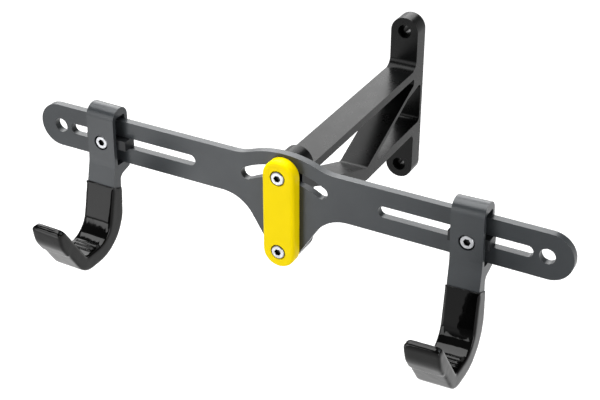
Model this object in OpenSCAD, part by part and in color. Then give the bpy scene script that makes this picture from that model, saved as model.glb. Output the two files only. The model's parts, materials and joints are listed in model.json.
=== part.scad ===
// Bike wall mount. Millimetres, +Z up, wall face on y = 0, forward is -Y.
// Origin: midway between the two wall screw holes, on the wall face.

/* [Wall bracket] */
// width of the bracket profile and of its rounded ends
mount_w = 24.5; // [20:0.5:30]
// distance between the two wall screw holes
screw_span = 125.6; // [110:0.1:140]
// thickness of the bracket where the wall screws pass
plate_t = 15.4; // [10:0.1:18]
// thickness of the thin wall leg between the screw zones
leg_t = 3.8; // [3:0.1:6]
// radius of the wall screw holes
screw_hole_r = 3.3; // [2.5:0.1:4]
// radius of the recess around each wall screw head
screw_recess_r = 5.9; // [5:0.1:8]
// depth of the recess for each wall screw head
screw_recess_depth = 6; // [3:0.5:8]
// height of the arm's top face above the origin
arm_top = 30.6; // [26:0.1:36]
// thickness of the top arm
arm_t = 7.2; // [5:0.1:10]
// depth of the lower rail's underside below the origin
rail_bottom = 30.6; // [28:0.1:34]
// thickness of the lower rail
rail_t = 8.4; // [6:0.1:10]
// distance from the wall to the end of the lower rail's underside
rail_reach = 108; // [100:1:116]
// thickness of the upright front pad
pad_t = 17.3; // [14:0.1:22]
// inside fillet between the upper plate and the arm
arm_fillet = 8; // [4:0.5:12]
// inside fillet between the lower plate and the rail
rail_fillet = 5; // [2:0.5:8]
// rounding of the rail's turn into the strut
strut_bend = 14; // [6:1:30]
// height of the strut's top face where it meets the pad
strut_top = 15.4; // [12:0.1:18]
// height of the strut's underside where it meets the pad
strut_bottom = 10.4; // [6:0.1:11]
// distance from the wall to the crease of the large window
crease_reach = 107; // [100:1:112]
// depth of that crease below the origin
crease_drop = 19.3; // [17:0.1:21]
// rounding of that crease
crease_r = 6; // [3:0.5:10]
// distance from the wall to the rear side of the large window
window_back = 18.6; // [17:0.1:24]
// height of the large window's rear lower corner
window_back_low = 17.6; // [16:0.1:20]
// distance from the wall to the blunt end of the small window
slot_window_end = 87.8; // [80:0.1:92]
// depth of that end's upper corner below the origin
slot_window_drop = 16.2; // [14:0.1:18]
// distance from the wall to the knee in the small window's roof
roof_knee_reach = 30; // [24:1:40]
// height of that knee
roof_knee_height = 9.2; // [7:0.1:9.8]
// height of the small window's corner at the wall leg
roof_back = 14; // [11:0.1:14.5]
// rounding of that knee
roof_knee_r = 20; // [5:1:40]
// large corner rounding of the windows
window_r = 4; // [2:0.5:5]
// small corner rounding of the windows
window_small_r = 1.6; // [1:0.1:1.8]

/* [Crossbar] */
// distance from the wall to the crossbar's front face
bar_reach = 223.4; // [210:0.2:235]
// thickness of the crossbar plate
bar_t = 5.8; // [4:0.1:8]
// height of the straight arms of the crossbar
bar_h = 35.6; // [30:0.2:40]
// length of the crossbar
bar_l = 440.8; // [410:0.2:460]
// height of the arms' centre line above the origin
bar_z = 20; // [18:0.1:22]
// distance from each end of the crossbar to its round hole
end_hole_inset = 18.8; // [17:0.1:22]
// radius of the round end holes
end_hole_r = 5.8; // [4:0.1:7]
// width of the two straight slots
slot_w = 8.9; // [8:0.1:10]
// distance from the middle to the inner end of a straight slot
slot_in = 76.2; // [70:0.2:84]
// distance from each end of the crossbar to its straight slot
slot_inset = 28.7; // [28:0.1:40]
// width of the crossbar between the tilt slot and the hump's crest
hump_wall = 10.75; // [9:0.05:11.5]
// steepness of the hump's sides, in degrees
hump_slope = 21; // [20:0.5:22]
// blend radius between the hump and the top edge
hump_blend = 37; // [20:1:38]
// steepness of the flanks under the crossbar, in degrees
flank_slope = 58; // [54:0.5:62]
// blend radius between the flanks and the bottom edge
flank_blend = 30; // [15:1:34]
// radius of the rounded tip around the pivot
tip_r = 12; // [11:0.1:13]
// width of the curved tilt slot
arc_w = 10.1; // [9.5:0.1:11]
// half of the angle covered by the tilt slot, in degrees
arc_half = 29.7; // [25:0.1:31]

/* [Clamp] */
// height of the tilt bolt above the origin
tilt_z = 30; // [28:0.1:32]
// depth of the pivot bolt below the origin
pivot_drop = 32.7; // [32:0.1:34]
// half of the clamp plate's width
clamp_r = 13.2; // [12.6:0.1:16]
// thickness of the clamp plate
clamp_t = 9.2; // [6:0.1:10]
// rounding of the clamp plate's front edge
clamp_edge = 2.9; // [1:0.1:4]
// depth of the recess for a bolt head in the clamp plate
clamp_recess = 3.4; // [2:0.1:4]
// outer radius of the spacer in the tilt slot
tilt_bush_r = 4.7; // [4:0.1:4.75]
// outer radius of the pivot bushing
pivot_bush_r = 5; // [4.5:0.1:5.5]

/* [Screws] */
// radius of the bolt shanks
bolt_r = 3; // [2.5:0.1:3.1]
// radius of the bolt heads
head_r = 5.25; // [4.8:0.05:5.4]
// height of the bolt heads in the clamp plate
head_h = 3.9; // [3:0.1:4.5]
// height of the bolt heads in the hooks
hook_head_h = 3; // [2:0.1:3.2]
// bevel on the rim of each bolt head
head_bevel = 0.5; // [0.2:0.1:0.8]
// radius of the hex sockets, across the corners
socket_r = 2.85; // [2:0.05:3]
// depth of the hex sockets
socket_depth = 2.2; // [1.5:0.1:2.4]
// radius of the recesses around the bolt heads
recess_r = 6.15; // [5.9:0.05:6.5]
// length of thread engaged in the bracket pad
thread_depth = 14; // [10:0.5:16]
// radius of the lock nuts, across the corners
nut_r = 5.77; // [5.4:0.01:6]
// thickness of the lock nuts
nut_t = 5; // [4:0.1:6]
// radius of the round collar on the lock nuts
nut_collar_r = 4.4; // [4:0.1:4.8]
// height of that collar
nut_collar_t = 1.2; // [0.5:0.1:2]
// outer radius of the washers
washer_r = 6.2; // [5.8:0.1:7]
// thickness of the washers
washer_t = 1.2; // [0.8:0.1:1.6]
// length of shank standing out of a lock nut
shank_end = 1; // [0.5:0.1:2]

/* [Hooks] */
// distance of the left hook from the crossbar's left end at rest
left_hook_inset = 64.2; // [50:0.1:118]
// distance of the right hook from the crossbar's right end at rest
right_hook_inset = 72.9; // [50:0.1:124]
// lean of the left hook about its bolt, in degrees
left_lean = 1.2; // [-2:0.1:2]
// lean of the right hook about its bolt, in degrees
right_lean = -2; // [-2:0.1:2]
// width of the bare hook profile
hook_w = 24.4; // [20:0.2:28]
// wall thickness of the hook's front and rear leg
hook_wall = 3.4; // [2.5:0.1:4]
// free depth between the front leg and the crossbar
hook_bay = 6.4; // [5:0.1:8]
// free height between the crossbar's bottom edge and the hook's foot
foot_room = 0.8; // [0.8:0.1:2]
// free height between the crossbar's top edge and the hook's crown
crown_room = 4.5; // [1:0.1:5]
// thickness of the hook's crown at its middle
crown_t = 6.9; // [5:0.1:8]
// thickness of the foot under the crossbar at the rear
foot_t = 6.6; // [4:0.1:8]
// drop of the foot's underside towards the stem
foot_drop = 3.4; // [1:0.1:5]
// corner rounding of the window around the crossbar
bay_r = 2; // [1:0.1:3]
// corner rounding of that window where the crossbar's edge rests
seat_r = 0.6; // [0.2:0.1:0.9]
// inside fillet between the foot and the stem
foot_fillet = 5; // [3:0.5:7]
// small outer corner rounding of the foot
foot_corner = 1.4; // [0.5:0.1:2]
// forward lean of the stem's front, in degrees
stem_lean = 12; // [8:0.5:16]
// rounding of the bend at the top of the stem
stem_bend = 30; // [10:1:60]
// height of that bend above the origin
stem_bend_z = 3; // [0:0.5:6]
// depth of the stem where it leaves the foot
stem_t = 9.2; // [8:0.1:12]
// rearward shift of the stem's back over its height
stem_back_lean = 2.8; // [0:0.1:4]
// depth of the cradle floor below the origin
floor_drop = 58.4; // [54:0.1:62]
// depth of the hook's underside below the origin
hook_drop = 69.4; // [66:0.1:72]
// rounding between the stem and the cradle floor
heel_inner = 21; // [15:0.5:24]
// rounding of the hook's heel outside
heel_outer = 33; // [26:0.5:36]
// length of the cradle floor, from the stem's line to its front end
floor_l = 30.45; // [26:0.05:40]
// rounding at the front end of the cradle floor
floor_r = 4; // [2:0.5:8]
// distance of the tip's inner corner beyond the cradle floor
tip_out = 25.9; // [20:0.1:30]
// thickness of the tip at its top
tip_t = 3; // [2.8:0.1:6]
// rounding of the tip's top corners seen from the front
tip_side_r = 3.4; // [1:0.1:6]
// depth of the tip's top below the origin
tip_drop = 19.4; // [17:0.1:24]
// rounding of the tip's top corners
tip_round = 1.4; // [0.6:0.1:1.5]
// thickness of the tip at the knee on its front, level with the inner corner
tine_knee_t = 0.2; // [0:0.1:1.4]
// depth of that knee below the origin
tine_knee_drop = 33.4; // [30:0.1:38]
// rounding of that knee
tine_knee_r = 20; // [5:1:40]
// distance of the toe under the tip beyond the front end of the cradle floor
toe_out = 2.6; // [0:0.1:6]
// rounding of that toe
toe_r = 18; // [4:0.5:22]

/* [Sleeves] */
// thickness of the sleeve on most sides
sleeve_t = 1.1; // [0.8:0.1:1.6]
// thickness of the sleeve on the front of the tip
sleeve_front_t = 2.8; // [2.2:0.1:3.2]
// depth of the sleeve's front edge below the origin
sleeve_start = 14.8; // [12:0.1:18]
// slope of the sleeve's upper edge, in degrees
sleeve_slope = 20; // [0:1:30]
// rounding of the sleeve's tip
sleeve_tip_r = 3.2; // [2:0.1:3.4]
// distance from the knee down to the lip under the thick front
lip_l = 13; // [10:0.5:16]
// height of that lip
lip_step = 1.2; // [0.6:0.1:1.4]
// rounding of that lip
lip_r = 0.6; // [0.3:0.1:0.8]
// corner rounding of the thick front above the lip, seen from the front
lip_corner_r = 3; // [1:0.1:5]
// radius of the small grip ribs on the cradle floor
rib_r = 0.9; // [0.5:0.1:1.2]
// spacing of the grip ribs
rib_pitch = 4; // [3:0.1:6]
// length of the grip ribs
rib_l = 18; // [12:0.5:22]

/* [Slot keys] */
// length of the left key beyond its bolt, towards the middle
key_long = 20.4; // [16:0.1:24]
// length of the keys beyond their bolts in the other directions
key_short = 15.4; // [12:0.1:18]
// radius of the key's round shoulder
key_shoulder_r = 8; // [6:0.1:9]

/* [Hidden] */
// free space between pieces that move against each other
play = 0.3;
// free space between pieces that are fitted together
fit = 0.1;
// running clearance of the pivot
run = 0.05;
// how far cutting shapes run past a face
over = 1;
// overlap of joined shapes in an outline
join = 0.2;
// step left where an arc runs into an edge
hair = 0.002;
// how far the piece that trims an arc reaches past it, as a factor
spread = 1.2;
// number of grip ribs
rib_count = 3;
$fn = 48;

screw_z = screw_span / 2;
plate_top = screw_z + mount_w / 2;
bar_back = bar_reach - bar_t;
pad_front = bar_back - play;
pad_back = pad_front - pad_t;
pad_top = tilt_z + mount_w / 2;
pad_low = -pivot_drop - mount_w / 2;
arm_low = arm_top - arm_t;
rail_top = rail_t - rail_bottom;
bolt_span = tilt_z + pivot_drop;
hump_r = bolt_span + arc_w / 2 + hump_wall;
clamp_back = bar_reach + play;
clamp_front = clamp_back + clamp_t;
clamp_seat = clamp_front - clamp_recess;
bar_top = bar_z + bar_h / 2;
bar_low = bar_z - bar_h / 2;
slot_out = bar_l / 2 - slot_inset;
end_hole_x = bar_l / 2 - end_hole_inset;
left_hook_x = left_hook_inset - bar_l / 2;
right_hook_x = bar_l / 2 - right_hook_inset;
bush_l = clamp_back - pad_front;
hook_front = bar_reach + hook_bay + hook_wall;
bay_front = bar_reach + hook_bay;
bay_back = bar_back - play;
hook_back = bay_back - hook_wall;
crown_top = bar_top + crown_room + crown_t;
crown_r = (hook_front - hook_back) / 2 - join;
bay_low = bar_low - foot_room;
foot_low = bay_low - foot_t;
stem_shift = (stem_bend_z - foot_low + foot_drop) * tan(stem_lean);
stem_back = hook_front + stem_shift - stem_t;
heel_front = hook_front + (stem_bend_z + floor_drop) * tan(stem_lean);
floor_reach = heel_front + floor_l;
tip_in_reach = floor_reach + tip_out;
key_front = bay_front - fit;
key_h = slot_w - 2 * play;
key_back = bar_back + play;
washer_back = hook_back - washer_t;
nut_back = washer_back - nut_t;
sleeve_w = hook_w + 2 * sleeve_t;

// a point of a side outline: distance from the wall and height
function at(d, z) = [-d, z];
function unit(v) = v / norm(v);
function after(i, n) = (i + 1) % n;
function before(i, n) = (i + n - 1) % n;
function turn(p) = sign([for (i = [0:len(p) - 1]) cross(p[i], p[after(i, len(p))])]
    * [for (i = [0:len(p) - 1]) 1]);
function bends_out(p, i) = turn(p) * cross(p[i] - p[before(i, len(p))],
    p[after(i, len(p))] - p[i]) > 0;
function toward(p, i, j) = unit(p[j] - p[i]);
function half_angle(p, i) = acos(toward(p, i, before(i, len(p)))
    * toward(p, i, after(i, len(p)))) / 2;
// how far an arc's end is moved along its edge, so that it meets it at a hair's step
function creep(r) = sqrt(2 * r * hair);
// point near the arc's end on the edge from corner i to corner j, moved by d
function touch(p, r, i, j, d) = p[i]
    + toward(p, i, j) * (r[i] / tan(half_angle(p, i)) - d);
function touch_a(p, r, i, d) = touch(p, r, i, before(i, len(p)), d);
function touch_b(p, r, i, d) = touch(p, r, i, after(i, len(p)), d);
function middle(p, i) = unit(toward(p, i, before(i, len(p)))
    + toward(p, i, after(i, len(p))));
function centre(p, r, i) = p[i] + middle(p, i) * r[i] / sin(half_angle(p, i));
function chords(p, r) = [for (i = [0:len(p) - 1])
    let (d = creep(r[i]))
    for (q = r[i] > 0 ? [touch_a(p, r, i, d), touch_b(p, r, i, d)] : [p[i]]) q];
// outline with each edge moved outwards by its own distance
function edge_normal(p, i) = -turn(p) * [-(p[after(i, len(p))] - p[i]).y,
    (p[after(i, len(p))] - p[i]).x] / norm(p[after(i, len(p))] - p[i]);
function quarter(v) = [v.y, -v.x];
function moved(p, d) = [for (i = [0:len(p) - 1])
    let (h = before(i, len(p)), a = edge_normal(p, h), b = edge_normal(p, i))
    p[i] + (d[h] * quarter(b) - d[i] * quarter(a)) / cross(a, b)];

module corner_piece(p, r, i) {
    d = creep(r[i]) / 2;
    a = touch_a(p, r, i, d);
    b = touch_b(p, r, i, d);
    m = (a + b) / 2;
    inner = m + unit(m - p[i]) * join;
    intersection() {
        translate(centre(p, r, i)) circle(r[i]);
        polygon([inner, inner + (a - inner) * spread, inner + (p[i] - inner) * spread,
            inner + (b - inner) * spread]);
    }
}

// outline with true arcs of radius r[i] at its corners p[i]
module rounded_shape(p, r) {
    difference() {
        union() {
            polygon(chords(p, r));
            for (i = [0:len(p) - 1])
                if (r[i] > 0 && bends_out(p, i)) corner_piece(p, r, i);
        }
        for (i = [0:len(p) - 1])
            if (r[i] > 0 && !bends_out(p, i)) corner_piece(p, r, i);
    }
}

// side outline drawn out across the width w
module across(w) {
    translate([-w / 2, 0, 0]) rotate([90, 0, 90]) linear_extrude(w) children();
}

// front outline drawn out from distance d0 to distance d1
module forward(d0, d1) {
    translate([0, -d0, 0]) rotate([90, 0, 0]) linear_extrude(d1 - d0) children();
}

// round bar along the depth, from distance d0 to distance d1
module rod(r, d0, d1, z = 0, x = 0) {
    translate([x, -d0, z]) rotate([90, 0, 0]) cylinder(r = r, h = d1 - d0);
}

module pill(r, z0, z1) {
    translate([0, z0]) circle(r);
    translate([0, z1]) circle(r);
    translate([-r, z0]) square([2 * r, z1 - z0]);
}

module long_slot(w, x0, x1) {
    translate([x0 + w / 2, 0]) circle(w / 2);
    translate([x1 - w / 2, 0]) circle(w / 2);
    translate([x0 + w / 2, -w / 2]) square([x1 - x0 - w, w]);
}

// socket screw: head between seat and seat + h, shank back to d_end
module socket_bolt(seat, h, d_end, z) {
    difference() {
        union() {
            rod(head_r, seat, seat + h - head_bevel, z);
            translate([0, -(seat + h - head_bevel), z]) rotate([90, 0, 0])
                cylinder(r1 = head_r, r2 = head_r - head_bevel, h = head_bevel);
            rod(bolt_r, d_end, seat + head_bevel, z);
        }
        translate([0, -(seat + h - socket_depth), z]) rotate([90, 0, 0])
            cylinder(r = socket_r, h = socket_depth + over, $fn = 6);
    }
}

module lock_nut(d0, z) {
    difference() {
        union() {
            translate([0, -(d0 - nut_t + nut_collar_t), z]) rotate([90, 0, 0])
                cylinder(r = nut_r, h = nut_t - nut_collar_t, $fn = 6);
            rod(nut_collar_r, d0 - nut_t, d0, z);
        }
        rod(bolt_r + fit, d0 - nut_t - over, d0 + over, z);
    }
}

module wall_bracket() {
    side = [at(0, -plate_top), at(0, plate_top), at(plate_t, plate_top),
        at(plate_t, arm_top), at(pad_back, arm_top), at(pad_back, pad_top),
        at(pad_front, pad_top), at(pad_front, pad_low), at(pad_back, pad_low),
        at(pad_back, strut_bottom), at(rail_reach, -rail_bottom),
        at(plate_t, -rail_bottom), at(plate_t, -plate_top)];
    side_r = [0, 0, 0, arm_fillet, 0, 0, 0, 0, 0, window_small_r, strut_bend, rail_fillet, 0];
    large = [at(window_back, arm_low), at(pad_back, arm_low), at(pad_back, strut_top),
        at(crease_reach, -crease_drop), at(window_back, window_back_low)];
    large_r = [window_small_r, window_small_r, window_small_r, crease_r, window_small_r];
    small = [at(leg_t, roof_back), at(roof_knee_reach, roof_knee_height),
        at(slot_window_end, -slot_window_drop), at(slot_window_end, rail_top),
        at(leg_t, rail_top)];
    small_r = [window_r, roof_knee_r, window_small_r, window_small_r, window_r];
    color("dimgray") difference() {
        intersection() {
            across(mount_w) difference() {
                rounded_shape(side, side_r);
                rounded_shape(large, large_r);
                rounded_shape(small, small_r);
            }
            union() {
                forward(-over, pad_back) pill(mount_w / 2, -screw_z, screw_z);
                forward(pad_back, pad_front + over) pill(mount_w / 2, -pivot_drop, tilt_z);
            }
        }
        for (s = [-1, 1]) {
            rod(screw_hole_r, -over, plate_t + over, s * screw_z);
            rod(screw_recess_r, plate_t - screw_recess_depth, plate_t + over, s * screw_z);
        }
        rod(bolt_r + fit, pad_front - thread_depth, pad_front + over, tilt_z);
        rod(bolt_r + fit, pad_back - over, pad_front + over, -pivot_drop);
    }
}

module arc_slot() {
    far = bolt_span * 2;
    translate([0, -pivot_drop]) {
        intersection() {
            difference() {
                circle(bolt_span + arc_w / 2);
                circle(bolt_span - arc_w / 2);
            }
            polygon([[0, 0], [-far * sin(arc_half), far * cos(arc_half)],
                [far * sin(arc_half), far * cos(arc_half)]]);
        }
        for (s = [-1, 1])
            translate([s * bolt_span * sin(arc_half), bolt_span * cos(arc_half)])
                circle(arc_w / 2 - hair);
    }
}

module crossbar() {
    crest = hump_r / cos(hump_slope) - pivot_drop;
    hump_x = (crest - bar_top) / tan(hump_slope);
    toe = -pivot_drop - tip_r / cos(flank_slope);
    flank_x = (bar_low - toe) / tan(flank_slope);
    end_x = bar_l / 2;
    end_r = bar_h / 2 - join;
    front = [[-end_x, bar_low], [-flank_x, bar_low], [0, toe], [flank_x, bar_low],
        [end_x, bar_low], [end_x, bar_top], [hump_x, bar_top], [0, crest],
        [-hump_x, bar_top], [-end_x, bar_top]];
    front_r = [end_r, flank_blend, tip_r, flank_blend, end_r, end_r, hump_blend,
        hump_r, hump_blend, end_r];
    color("slategray") forward(bar_back, bar_reach) difference() {
        rounded_shape(front, front_r);
        for (s = [-1, 1]) {
            translate([0, bar_z]) mirror([s < 0 ? 1 : 0, 0])
                long_slot(slot_w, slot_in, slot_out);
            translate([s * end_hole_x, bar_z]) circle(end_hole_r);
        }
        arc_slot();
        translate([0, -pivot_drop]) circle(pivot_bush_r + run);
    }
}

module clamp_plate() {
    color("gold") difference() {
        union() {
            forward(clamp_back, clamp_front - clamp_edge) pill(clamp_r, -pivot_drop, tilt_z);
            forward(clamp_back, clamp_front) pill(clamp_r - clamp_edge, -pivot_drop, tilt_z);
            for (z = [-pivot_drop, tilt_z])
                translate([0, clamp_edge - clamp_front, z]) rotate([90, 0, 0])
                    rotate_extrude() translate([clamp_r - clamp_edge, 0]) circle(clamp_edge);
            for (s = [-1, 1])
                translate([s * (clamp_r - clamp_edge), clamp_edge - clamp_front, -pivot_drop])
                    cylinder(r = clamp_edge, h = bolt_span);
        }
        for (z = [-pivot_drop, tilt_z]) {
            rod(bolt_r + play, clamp_back - over, clamp_front + over, z);
            rod(recess_r, clamp_seat, clamp_front + over, z);
        }
    }
}

module tilt_bolt() {
    color("silver") socket_bolt(clamp_seat, head_h, pad_front - thread_depth + over, tilt_z);
}

module tilt_spacer() {
    color("gray") difference() {
        rod(tilt_bush_r, pad_front, clamp_back, tilt_z);
        rod(bolt_r + fit, pad_front - over, clamp_back + over, tilt_z);
    }
}

module pivot_bolt() {
    color("silver") socket_bolt(clamp_seat, head_h, pad_back - nut_t - shank_end, -pivot_drop);
}

module pivot_bushing() {
    color("gray") difference() {
        rod(pivot_bush_r, pad_front, clamp_back, -pivot_drop);
        rod(bolt_r + fit, pad_front - over, clamp_back + over, -pivot_drop);
    }
}

module pivot_lock_nut() {
    color("silver") lock_nut(pad_back, -pivot_drop);
}

// corners of the stem and the cradle, from the stem's bend round to its back
cradle = [at(hook_front, stem_bend_z), at(heel_front, -floor_drop),
    at(floor_reach, -floor_drop), at(tip_in_reach, -tip_drop),
    at(tip_in_reach + tip_t, -tip_drop), at(tip_in_reach + tine_knee_t, -tine_knee_drop),
    at(floor_reach + toe_out, -hook_drop), at(stem_back + stem_back_lean, -hook_drop),
    at(stem_back, foot_low - foot_drop)];
cradle_r = [0, heel_inner, floor_r, tip_round, tip_round, tine_knee_r, toe_r,
    heel_outer, 0];
cradle_out = [sleeve_t, sleeve_t, sleeve_t, sleeve_t, sleeve_front_t, sleeve_front_t,
    sleeve_t, sleeve_t, sleeve_t];
thick = moved(cradle, cradle_out);
thin = moved(cradle, cradle_out - [for (i = [0:len(cradle) - 1]) i == 5 ? lip_step : 0]);
front_way = unit(thick[6] - thick[5]);
lip = thick[5] + front_way * lip_l;
sleeve_p = concat([for (i = [0:5]) thick[i]], [lip, lip - quarter(front_way) * lip_step],
    [for (i = [6:8]) thin[i]]);
sleeve_r = [0, heel_inner - sleeve_t, floor_r - sleeve_t, sleeve_tip_r, sleeve_tip_r,
    tine_knee_r + sleeve_front_t, lip_r, 0, toe_r + sleeve_t,
    heel_outer + sleeve_t, 0];

// what is cut from the tip's top corners, seen from the front
module tip_corners(w, top, r) {
    forward(floor_reach, tip_in_reach * 2)
        for (s = [0, 1]) mirror([s, 0]) difference() {
            translate([w / 2 - r + hair, top - r + hair]) square(r + over);
            translate([w / 2 - r + hair, top - r + hair]) circle(r);
        }
}

// turns a hook about its bolt and puts it in place along the crossbar
module leaning(x, lean) {
    translate([x, 0, bar_z]) rotate([0, lean, 0]) translate([0, 0, -bar_z]) children();
}

module hook(x, lean) {
    body = concat([at(hook_front, crown_top)], cradle,
        [at(hook_back, foot_low), at(hook_back, crown_top)]);
    body_r = [crown_r, stem_bend, heel_inner, floor_r, tip_round, tip_round, tine_knee_r,
        toe_r, heel_outer, foot_fillet, foot_corner, crown_r];
    bay = [at(bay_front, bay_low), at(bay_back, bay_low),
        at(bay_back, bar_top + crown_room), at(bay_front, bar_top + crown_room)];
    leaning(x, lean) difference() {
        across(hook_w) difference() {
            rounded_shape(body, body_r);
            rounded_shape(bay, [bay_r, seat_r, bay_r, bay_r]);
        }
        rod(recess_r, bay_front - over, hook_front + over, bar_z);
        rod(bolt_r + play, hook_back - over, bay_back + over, bar_z);
        tip_corners(hook_w, -tip_drop, tip_side_r);
    }
}

module cradle_core(w, gap) {
    rounds = [for (i = [0:len(cradle) - 1]) cradle_r[i] == 0 ? 0
        : cradle_r[i] + (bends_out(cradle, i) ? gap : -gap)];
    across(w) rounded_shape(moved(cradle, [for (i = cradle) gap]), rounds);
}

// what is cut from the lower corners of the thick front, down to the face below the lip
module lip_corners() {
    near = sleeve_w / 2 - lip_corner_r + hair;
    translate([0, lip.x, lip.y]) rotate([atan2(front_way.y, front_way.x), 0, 0])
        translate([0, 0, -over]) linear_extrude(lip_step + over)
            for (s = [0, 1]) mirror([s, 0]) difference() {
                translate([near, -lip_corner_r + hair]) square(lip_corner_r + over);
                translate([near, -lip_corner_r + hair]) circle(lip_corner_r);
            }
}

module grip_ribs() {
    mid = (sleeve_p[1].x + sleeve_p[2].x) / 2;
    for (i = [0:rib_count - 1])
        translate([-rib_l / 2, mid + (i - rib_count / 2) * rib_pitch, sleeve_p[1].y])
            rotate([0, 90, 0]) cylinder(r = rib_r, h = rib_l);
}

module hook_sleeve(x, lean) {
    far = hook_drop * 2;
    start = at(hook_front + (stem_bend_z + sleeve_start) * tan(stem_lean), -sleeve_start);
    fall = [cos(sleeve_slope), -sin(sleeve_slope)];
    leaning(x, lean) difference() {
        union() {
            intersection() {
                across(sleeve_w) rounded_shape(sleeve_p, sleeve_r);
                across(sleeve_w + over) polygon([start - fall * far, start + fall * far,
                    start + fall * far - [0, far], start - fall * far - [0, far]]);
            }
            grip_ribs();
        }
        cradle_core(hook_w + 2 * fit, fit);
        lip_corners();
        tip_corners(sleeve_w, thick[4].y, tip_side_r + sleeve_t);
    }
}

module hook_bolt(x) {
    translate([x, 0, 0]) socket_bolt(key_front, hook_head_h, nut_back - shank_end, bar_z);
}

module slot_key(x, reach) {
    translate([x, 0, 0]) difference() {
        union() {
            translate([-key_short, -key_front, bar_z - key_h / 2])
                cube([key_short + reach, key_front - key_back, key_h]);
            rod(key_shoulder_r, bar_reach + play, key_front, bar_z);
        }
        rod(bolt_r + fit, key_back - over, key_front + over, bar_z);
    }
}

module hook_washer(x) {
    difference() {
        rod(washer_r, washer_back, hook_back, bar_z, x);
        rod(bolt_r + fit, washer_back - over, hook_back + over, bar_z, x);
    }
}

module hook_nut(x) {
    translate([x, 0, 0]) lock_nut(washer_back, bar_z);
}

module left_hook() { color("slategray") hook(left_hook_x, left_lean); }
module right_hook() { color("slategray") hook(right_hook_x, right_lean); }
module left_hook_sleeve() { color("black") hook_sleeve(left_hook_x, left_lean); }
module right_hook_sleeve() { color("black") hook_sleeve(right_hook_x, right_lean); }
module left_hook_bolt() { color("silver") hook_bolt(left_hook_x); }
module right_hook_bolt() { color("silver") hook_bolt(right_hook_x); }
module left_slot_key() { color("dimgray") slot_key(left_hook_x, key_long); }
module right_slot_key() { color("dimgray") slot_key(right_hook_x, key_short); }
module left_washer() { color("silver") hook_washer(left_hook_x); }
module right_washer() { color("silver") hook_washer(right_hook_x); }
module left_lock_nut() { color("silver") hook_nut(left_hook_x); }
module right_lock_nut() { color("silver") hook_nut(right_hook_x); }

wall_bracket();
crossbar();
clamp_plate();
tilt_bolt();
tilt_spacer();
pivot_bolt();
pivot_bushing();
pivot_lock_nut();
left_hook();
left_hook_sleeve();
left_hook_bolt();
left_slot_key();
left_washer();
left_lock_nut();
right_hook();
right_hook_sleeve();
right_hook_bolt();
right_slot_key();
right_washer();
right_lock_nut();
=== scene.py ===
"""Bike wall mount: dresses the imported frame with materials, a studio and the camera."""

import json
import math

import bpy
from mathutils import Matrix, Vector

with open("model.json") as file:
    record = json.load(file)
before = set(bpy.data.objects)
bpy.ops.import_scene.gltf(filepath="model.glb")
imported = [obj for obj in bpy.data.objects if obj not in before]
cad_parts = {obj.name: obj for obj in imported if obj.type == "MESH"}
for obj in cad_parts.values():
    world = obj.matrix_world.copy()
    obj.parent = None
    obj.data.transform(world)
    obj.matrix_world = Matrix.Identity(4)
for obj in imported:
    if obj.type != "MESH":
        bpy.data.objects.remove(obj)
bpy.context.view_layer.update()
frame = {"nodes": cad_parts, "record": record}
nodes = frame["nodes"]
SLOT_OF = {row["node"]: row["material_slot"] for row in frame["record"]["subparts"]}
MM = 0.001


# Node helpers

NOISE_LOW = 0.3  # nearly all of a noise lies between these two
NOISE_HIGH = 0.7
MIX_COLORS = (6, 7)  # the Mix node's sockets for two colours, and the one they leave by
MIX_RESULT = 2


def feed(tree, socket, value):
    """Links an output to a socket, or sets the socket to a plain value."""
    if isinstance(value, bpy.types.NodeSocket):
        tree.links.new(value, socket)
    else:
        socket.default_value = value


def feed_inputs(tree, node, **inputs):
    """Feeds a node's sockets by their names, with underscores for spaces."""
    for key, value in inputs.items():
        feed(tree, node.inputs[key.replace("_", " ")], value)


def add(tree, kind, **inputs):
    """A new node with some of its sockets fed."""
    node = tree.nodes.new(kind)
    feed_inputs(tree, node, **inputs)
    return node


def combine(tree, operation, first, second):
    """A Math node on two values, each a link or a number."""
    node = add(tree, "ShaderNodeMath")
    node.operation = operation
    feed(tree, node.inputs[0], first)
    feed(tree, node.inputs[1], second)
    return node.outputs[0]


def measure(tree, operation, first, second=(0, 0, 0)):
    """The number that a Vector Math node gives for one or two vectors."""
    node = add(tree, "ShaderNodeVectorMath")
    node.operation = operation
    feed(tree, node.inputs[0], first)
    feed(tree, node.inputs[1], second)
    return node.outputs["Value"]


def coordinates(tree, kind):
    return add(tree, "ShaderNodeTexCoord").outputs[kind]


def split(tree, vector):
    """The X, Y and Z outputs of a vector."""
    return add(tree, "ShaderNodeSeparateXYZ", Vector=vector).outputs


def remap(tree, value, low=0.0, high=1.0, start=NOISE_LOW, end=NOISE_HIGH):
    """low where the value is at start, high where it is at end, and a ramp between them."""
    node = add(
        tree,
        "ShaderNodeMapRange",
        Value=value,
        From_Min=start,
        From_Max=end,
        To_Min=low,
        To_Max=high,
    )
    return node.outputs["Result"]


def noise(tree, scale, detail):
    """Noise fixed to the object, with about scale waves to the metre."""
    place = coordinates(tree, "Object")
    return add(tree, "ShaderNodeTexNoise", Vector=place, Scale=scale, Detail=detail).outputs["Fac"]


def drift(tree, scale, detail, low=0.0, high=1.0):
    """A number that wanders between low and high over the surface."""
    return remap(tree, noise(tree, scale, detail), low, high)


def grain(tree, scale, strength, depth, detail=2):
    """A normal bumped by noise."""
    height = noise(tree, scale, detail)
    node = add(tree, "ShaderNodeBump", Strength=strength, Distance=depth, Height=height)
    return node.outputs["Normal"]


def mix_colors(tree, factor, first, second):
    """A blend of two colours, each a link or three numbers."""
    node = add(tree, "ShaderNodeMix")
    node.data_type = "RGBA"
    feed(tree, node.inputs[0], factor)
    for place, color in zip(MIX_COLORS, (first, second)):
        linked = isinstance(color, bpy.types.NodeSocket)
        feed(tree, node.inputs[place], color if linked else (*color, 1))
    return node.outputs[MIX_RESULT]


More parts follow.
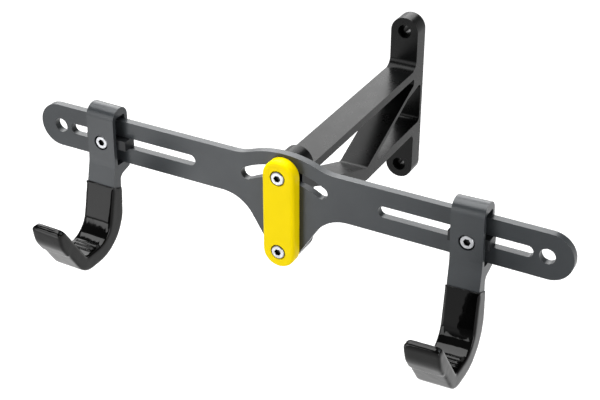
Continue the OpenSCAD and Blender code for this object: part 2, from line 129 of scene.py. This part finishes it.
def new_material(name):
    mat = bpy.data.materials.new(name)
    mat.use_nodes = True
    tree = mat.node_tree
    return mat, tree, tree.nodes["Principled BSDF"]


# Materials

COAT_GRAIN = 2600  # waves to the metre of the fine grain on coated metal
SOCKET_RADIUS_SHARE = 0.29  # of the bolt's box: the radius of the shade painted in the socket, and where it starts
SOCKET_DEPTH_SHARE = 0.004
SOCKET_RIM = 1.04  # how far the painted shade fades out, sideways and towards the face
SOCKET_FADE = 3
# colour of the shade painted inside a bolt's socket
SOCKET_PAINTED_SHADE = (0.02, 0.02, 0.02)


def coated_metal(name, dark, light, rough, metallic, level):
    """Satin coat with a fine grain, a cloudy tone and faint smudges."""
    mat, tree, shader = new_material(name)
    feed_inputs(
        tree,
        shader,
        Base_Color=mix_colors(tree, drift(tree, scale=28, detail=4), dark, light),
        Roughness=drift(tree, scale=90, detail=5, low=rough - 0.02, high=rough + 0.03),
        Metallic=metallic,
        Specular_IOR_Level=level,
        Normal=grain(tree, COAT_GRAIN, strength=0.35, depth=0.02 * MM),
    )
    return mat


def painted_edge_highlight(name, coat, bare, rough):
    """Painted highlight on a rounded edge: the coat made lighter, more metallic and shinier in
    patches.
    """
    mat, tree, shader = new_material(name)
    patches = remap(tree, noise(tree, scale=260, detail=4), start=0.35, end=0.65)
    feed_inputs(
        tree,
        shader,
        Base_Color=mix_colors(tree, patches, coat, bare),
        Metallic=remap(tree, patches, low=0.35, high=0.6, start=0, end=1),
        Roughness=remap(tree, patches, low=rough, high=rough - 0.06, start=0, end=1),
        Normal=grain(tree, COAT_GRAIN, strength=0.3, depth=0.015 * MM),
    )
    return mat


def socket_shade_mask(tree):
    """Where shade is painted: 1 inside a bolt's socket, near its axis and below its face, by
    shares of its box.
    """
    place = split(tree, coordinates(tree, "Generated"))
    flat = add(tree, "ShaderNodeCombineXYZ", X=place["X"], Y=place["Z"]).outputs[0]
    from_axis = measure(tree, "DISTANCE", flat, (0.5, 0.5, 0))
    radius, depth = SOCKET_RADIUS_SHARE, SOCKET_DEPTH_SHARE
    near = remap(tree, from_axis, low=1, high=0, start=radius, end=radius * SOCKET_RIM)
    below = remap(tree, place["Y"], start=depth, end=depth * SOCKET_FADE)
    return combine(tree, "MULTIPLY", near, below)


def bright_steel(name, with_socket_shade):
    """Zinc-plated steel with a fine grain and dull spots, and painted shade in its socket if it
    has one.
    """
    mat, tree, shader = new_material(name)
    spots = noise(tree, scale=700, detail=4)
    color = mix_colors(tree, remap(tree, spots), (0.29, 0.295, 0.305), (0.42, 0.425, 0.44))
    if with_socket_shade:
        # paints shade into the socket's recess
        color = mix_colors(tree, socket_shade_mask(tree), color, SOCKET_PAINTED_SHADE)
    feed_inputs(
        tree,
        shader,
        Base_Color=color,
        Roughness=remap(tree, spots, low=0.42, high=0.3),
        Metallic=1.0,
        Normal=grain(tree, scale=5200, strength=0.3, depth=0.015 * MM),
    )
    return mat


def yellow_plate():
    """Satin yellow with a slight drift in tone and a fine moulded grain."""
    mat, tree, shader = new_material("yellow_plate")
    tone = drift(tree, scale=60, detail=3)
    feed_inputs(
        tree,
        shader,
        Base_Color=mix_colors(tree, tone, (0.865, 0.655, 0.0), (0.89, 0.675, 0.0)),
        Roughness=drift(tree, scale=220, detail=4, low=0.36, high=0.46),
        Specular_IOR_Level=0.05,
        Normal=grain(tree, scale=1900, strength=0.25, depth=0.02 * MM),
    )
    return mat


def sleeve_rubber():
    """Glossy dipped skin: slow waves from dripping and a few faint dull marks."""
    mat, tree, shader = new_material("sleeve_rubber")
    tone = drift(tree, scale=45, detail=3)
    feed_inputs(
        tree,
        shader,
        Base_Color=mix_colors(tree, tone, (0.0008, 0.0008, 0.0008), (0.002, 0.002, 0.002)),
        Roughness=drift(tree, scale=150, detail=5, low=0.04, high=0.08),
        Specular_IOR_Level=0.17,
        Normal=grain(tree, scale=85, strength=0.55, depth=0.4 * MM, detail=1.5),
    )
    return mat


def dark_plastic():
    """Plain moulded plastic of the spacer and the bushing."""
    mat, tree, shader = new_material("dark_plastic")
    tone = drift(tree, scale=200, detail=3)
    feed_inputs(
        tree,
        shader,
        Base_Color=mix_colors(tree, tone, (0.02, 0.02, 0.02), (0.035, 0.035, 0.035)),
        Roughness=drift(tree, scale=500, detail=3, low=0.45, high=0.6),
    )
    return mat


GREY_COAT = {"dark": (0.03, 0.0335, 0.0368), "light": (0.037, 0.0412, 0.045), "metallic": 0.1}
# painted highlight on the grey parts' rounded edges: the edge colour and its highlight colour
GREY_EDGE_HIGHLIGHT = {"coat": (0.06, 0.063, 0.066), "bare": (0.24, 0.25, 0.26)}
MATERIALS = {
    "bracket_metal": coated_metal(
        "bracket_metal",
        dark=(0.0016, 0.0018, 0.0018),
        light=(0.003, 0.0033, 0.0033),
        rough=0.28,
        metallic=0.0,
        level=0.1,
    ),
    "bar_metal": coated_metal("bar_metal", rough=0.31, level=0.27, **GREY_COAT),
    "hook_metal": coated_metal("hook_metal", rough=0.3, level=0.34, **GREY_COAT),
    "key_metal": coated_metal(
        "key_metal",
        dark=(0.012, 0.013, 0.014),
        light=(0.018, 0.0193, 0.0207),
        rough=0.4,
        metallic=0.1,
        level=0.2,
    ),
    "yellow_plate": yellow_plate(),
    "bright_steel": bright_steel("bright_steel", with_socket_shade=False),
    "dark_plastic": dark_plastic(),
    "sleeve_rubber": sleeve_rubber(),
}
# painted highlights on the rounded edges, put on the bevels' faces
EDGE_HIGHLIGHT_MATERIALS = {
    "bracket_metal": painted_edge_highlight(
        "bracket_metal_edge_highlight", coat=(0.05, 0.052, 0.054), bare=(0.3, 0.31, 0.32), rough=0.32
    ),
    "bar_metal": painted_edge_highlight("bar_metal_edge_highlight", rough=0.34, **GREY_EDGE_HIGHLIGHT),
    "hook_metal": painted_edge_highlight("hook_metal_edge_highlight", rough=0.32, **GREY_EDGE_HIGHLIGHT),
}
# steel for the bolts, with shade painted into their sockets
socket_shaded_steel = bright_steel("bright_steel_socket_shade", with_socket_shade=True)
for name, node in nodes.items():
    node.data.materials.clear()
    node.data.materials.append(
        socket_shaded_steel if name.endswith("_bolt") else MATERIALS[SLOT_OF[name]]
    )


# Softened edges

EDGES = {
    "wall_bracket": 0.5 * MM,
    "crossbar": 0.6 * MM,
    "left_hook": 0.6 * MM,
    "right_hook": 0.6 * MM,
    "left_slot_key": 0.4 * MM,
    "right_slot_key": 0.4 * MM,
}
EDGE_SEGMENTS = 3
SHARP_ANGLE = math.radians(32)  # edges bent more than this are rounded
FLAT_ANGLE = math.radians(0.4)  # facets bent less than this are joined
WELD_REACH = 0.01 * MM
NORMAL_WEIGHT = 90  # how much large faces rule the shading


def soften(name, width):
    """Welds the node, joins its flat facets and rounds its sharp edges."""
    node = nodes[name]
    weld = node.modifiers.new("weld", "WELD")
    weld.merge_threshold = WELD_REACH
    flat = node.modifiers.new("flat", "DECIMATE")
    flat.decimate_type = "DISSOLVE"
    flat.angle_limit = FLAT_ANGLE
    bevel = node.modifiers.new("bevel", "BEVEL")
    bevel.width = width
    bevel.segments = EDGE_SEGMENTS
    bevel.limit_method = "ANGLE"
    bevel.angle_limit = SHARP_ANGLE
    bevel.miter_outer = "MITER_ARC"
    # the bevel's faces take the painted-highlight material
    if SLOT_OF[name] in EDGE_HIGHLIGHT_MATERIALS:
        node.data.materials.append(EDGE_HIGHLIGHT_MATERIALS[SLOT_OF[name]])
        bevel.material = 1
    normals = node.modifiers.new("normals", "WEIGHTED_NORMAL")
    normals.weight = NORMAL_WEIGHT
    normals.keep_sharp = True
    for polygon in node.data.polygons:
        polygon.use_smooth = True


for name, width in EDGES.items():
    soften(name, width)


# Sleeves

LEANS = {"left_hook_sleeve": 1.2, "right_hook_sleeve": -2}  # degrees, as in part.scad
SKIN_GRAIN = 0.3 * MM  # size of the even mesh that the skin is rebuilt with
SKIN_ROUNDS = 28  # rounds of smoothing all over
SKIN_PULL = 0.5  # strength of each round
SIDE_ROUNDS = 56  # rounds of smoothing at the sides and the tip alone
SIDE_START = 8.5 * MM  # from the middle line, where that smoothing sets in and is full
SIDE_END = 10.5 * MM
TIP_REACH = 6 * MM  # behind the foremost point, where the tip's top is looked for
TIP_START = 14 * MM  # behind the foremost point, where the tip's smoothing sets in and is full
TIP_END = 12 * MM
TIP_LOW = 6 * MM  # under the tip's top, likewise
TIP_HIGH = 4 * MM
RIM_START = 1.5 * MM  # under the rim, which stays crisp, likewise
RIM_END = 4 * MM


def melt(node):
    """Rounds a dip-moulded skin all over: a fine even mesh, smoothed."""
    remesh = node.modifiers.new("remesh", "REMESH")
    remesh.mode = "VOXEL"
    remesh.voxel_size = SKIN_GRAIN
    remesh.use_smooth_shade = True
    smooth = node.modifiers.new("smooth", "SMOOTH")
    smooth.factor = SKIN_PULL
    smooth.iterations = SKIN_ROUNDS


def side_weight(tree, place, node, lean):
    """1 along a sleeve's sides and at its tip, 0 between the sides and at the rim."""
    spots = [vertex.co for vertex in node.data.vertices]
    low = Vector([min(spot[i] for spot in spots) for i in range(3)])
    high = Vector([max(spot[i] for spot in spots) for i in range(3)])
    top = max(spot.z for spot in spots if spot.y < low.y + TIP_REACH)
    x, y, z = split(tree, place)
    rise = combine(tree, "SUBTRACT", z, (low.z + high.z) / 2)
    middle = combine(tree, "MULTIPLY", rise, math.tan(math.radians(lean)))
    offset = combine(tree, "SUBTRACT", x, (low.x + high.x) / 2)
    aside = combine(tree, "ABSOLUTE", combine(tree, "SUBTRACT", offset, middle), 0)
    sides = remap(tree, aside, start=SIDE_START, end=SIDE_END)
    fore = remap(tree, y, start=low.y + TIP_START, end=low.y + TIP_END)
    upper = remap(tree, z, start=top - TIP_LOW, end=top - TIP_HIGH)
    tip = combine(tree, "MULTIPLY", fore, upper)
    under_rim = remap(tree, z, start=high.z - RIM_START, end=high.z - RIM_END)
    return combine(tree, "MULTIPLY", combine(tree, "MAXIMUM", sides, tip), under_rim)


def round_sides(node, lean):
    """Rounds a sleeve's side edges and tip further, by blurring their places."""
    tree = bpy.data.node_groups.new(node.name + "_sides", "GeometryNodeTree")
    for way in ("INPUT", "OUTPUT"):
        tree.interface.new_socket("Geometry", in_out=way, socket_type="NodeSocketGeometry")
    enter = add(tree, "NodeGroupInput")
    leave = add(tree, "NodeGroupOutput")
    place = add(tree, "GeometryNodeInputPosition").outputs[0]
    blur = add(tree, "GeometryNodeBlurAttribute", Iterations=SIDE_ROUNDS)
    blur.data_type = "FLOAT_VECTOR"
    value = next(socket for socket in blur.inputs if socket.name == "Value" and socket.enabled)
    result = next(socket for socket in blur.outputs if socket.enabled)
    tree.links.new(place, value)
    tree.links.new(side_weight(tree, place, node, lean), blur.inputs["Weight"])
    geometry = enter.outputs[0]
    move = add(tree, "GeometryNodeSetPosition", Geometry=geometry, Position=result)
    tree.links.new(move.outputs[0], leave.inputs[0])
    node.modifiers.new("sides", "NODES").node_group = tree


for name, lean in LEANS.items():
    melt(nodes[name])
    round_sides(nodes[name], lean)


# Studio

WHITE = (1, 1, 1, 1)
FLOOR_HEIGHT = -0.85
FLOOR_HALF = 12.0
FLOOR_COLOR = (0.9, 0.9, 0.9, 1)
GLOW_NEAR = 0.2  # the floor's own white under the part, dim so that dark metal stays dark
GLOW_FAR = 1.0
GLOW_START = 1.0  # metres from the frame's origin, where it starts and stops rising
GLOW_END = 2.6
WORLD_LEVEL = 0.15
HORIZON_TOP = 0.2  # upward share of a direction up to which reflections see the world white
CEILING = 0.45  # and from which they see it at its plain level
PART_CENTRE = (0, -0.2, 0)
LEFT_OF_CENTRE = (-0.05, -0.2, 0)


def softbox(name, place, aim, size, watts):
    light = bpy.data.lights.new(name, "AREA")
    light.shape = "RECTANGLE"
    light.size, light.size_y = size
    light.energy = watts
    lamp = bpy.data.objects.new(name, light)
    lamp.location = place
    lamp.rotation_euler = (Vector(aim) - Vector(place)).to_track_quat("-Z", "Y").to_euler()
    bpy.context.scene.collection.objects.link(lamp)


def ray_kinds(tree):
    """1 for the camera's own rays, and 1 for those of reflections and glass."""
    path = add(tree, "ShaderNodeLightPath").outputs
    mirrored = combine(tree, "MAXIMUM", path["Is Glossy Ray"], path["Is Transmission Ray"])
    return path["Is Camera Ray"], mirrored


def build_floor():
    """A pale floor, white to the camera and, away from the part, in reflections."""
    mesh = bpy.data.meshes.new("floor")
    corners = [(-1, -1), (1, -1), (1, 1), (-1, 1)]
    spots = [(x * FLOOR_HALF, y * FLOOR_HALF, FLOOR_HEIGHT) for x, y in corners]
    mesh.from_pydata(spots, [], [(0, 1, 2, 3)])
    floor = bpy.data.objects.new("floor", mesh)
    bpy.context.scene.collection.objects.link(floor)
    mat, tree, shader = new_material("floor")
    feed_inputs(tree, shader, Base_Color=FLOOR_COLOR, Roughness=0.9, Specular_IOR_Level=0.0)
    away = measure(tree, "LENGTH", coordinates(tree, "Object"))
    white = remap(tree, away, low=GLOW_NEAR, high=GLOW_FAR, start=GLOW_START, end=GLOW_END)
    seen = combine(tree, "MAXIMUM", *ray_kinds(tree))
    level = combine(tree, "MULTIPLY", white, seen)
    glow = add(tree, "ShaderNodeEmission", Color=WHITE, Strength=level)
    both = add(tree, "ShaderNodeAddShader")
    tree.links.new(shader.outputs[0], both.inputs[0])
    tree.links.new(glow.outputs[0], both.inputs[1])
    tree.links.new(both.outputs[0], tree.nodes["Material Output"].inputs["Surface"])
    mesh.materials.append(mat)


def build_world():
    """White to the camera and, near the horizon, in reflections; dim as a light."""
    world = bpy.data.worlds.new("world")
    bpy.context.scene.world = world
    world.use_nodes = True
    tree = world.node_tree
    tree.nodes.clear()
    looked, mirrored = ray_kinds(tree)
    up = split(tree, coordinates(tree, "Generated"))["Z"]
    around = remap(tree, up, low=0, high=1, start=CEILING, end=HORIZON_TOP)
    shown = combine(tree, "MAXIMUM", looked, combine(tree, "MULTIPLY", mirrored, around))
    plain = add(tree, "ShaderNodeBackground", Color=WHITE, Strength=WORLD_LEVEL)
    white = add(tree, "ShaderNodeBackground", Color=WHITE, Strength=1.0)
    mix = add(tree, "ShaderNodeMixShader")
    out = add(tree, "ShaderNodeOutputWorld")
    for socket, source in zip(mix.inputs, (shown, plain.outputs[0], white.outputs[0])):
        tree.links.new(source, socket)
    tree.links.new(mix.outputs[0], out.inputs[0])


build_floor()
build_world()
softbox("behind", place=(-0.75, 1.2, 0.95), aim=PART_CENTRE, size=(1.9, 1.1), watts=34)
softbox("overhead", place=(-0.4, -0.1, 1.25), aim=PART_CENTRE, size=(1.2, 0.9), watts=25)
softbox("front_left", place=(-0.5, -1.2, 0.35), aim=LEFT_OF_CENTRE, size=(0.5, 0.7), watts=5.9)
softbox("front_low", place=(-0.48, -0.95, -0.34), aim=LEFT_OF_CENTRE, size=(0.42, 0.5), watts=1.8)
softbox("right", place=(1.3, -0.7, 0.3), aim=PART_CENTRE, size=(0.8, 0.8), watts=11)


# Camera, solved from the photo

AZIMUTH = math.radians(28.45)
ELEVATION = math.radians(30.42)
TARGET = Vector((-19.36, -162.5, -29.36)) * MM
DISTANCE = 1043.33 * MM
PHOTO_WIDTH = 600
FOCAL_PIXELS = 1319.79
SENSOR_WIDTH = 36
CLIP_END = 50
back = Vector(
    (
        math.sin(AZIMUTH) * math.cos(ELEVATION),
        -math.cos(AZIMUTH) * math.cos(ELEVATION),
        math.sin(ELEVATION),
    )
)
lens = bpy.data.cameras.new("camera")
lens.sensor_fit = "HORIZONTAL"
lens.sensor_width = SENSOR_WIDTH
lens.lens = SENSOR_WIDTH * FOCAL_PIXELS / PHOTO_WIDTH
lens.clip_end = CLIP_END
camera = bpy.data.objects.new("camera", lens)
camera.location = TARGET + back * DISTANCE
camera.rotation_euler = (-back).to_track_quat("-Z", "Y").to_euler()
bpy.context.scene.collection.objects.link(camera)
bpy.context.scene.camera = camera
bpy.context.scene.view_settings.view_transform = "Standard"
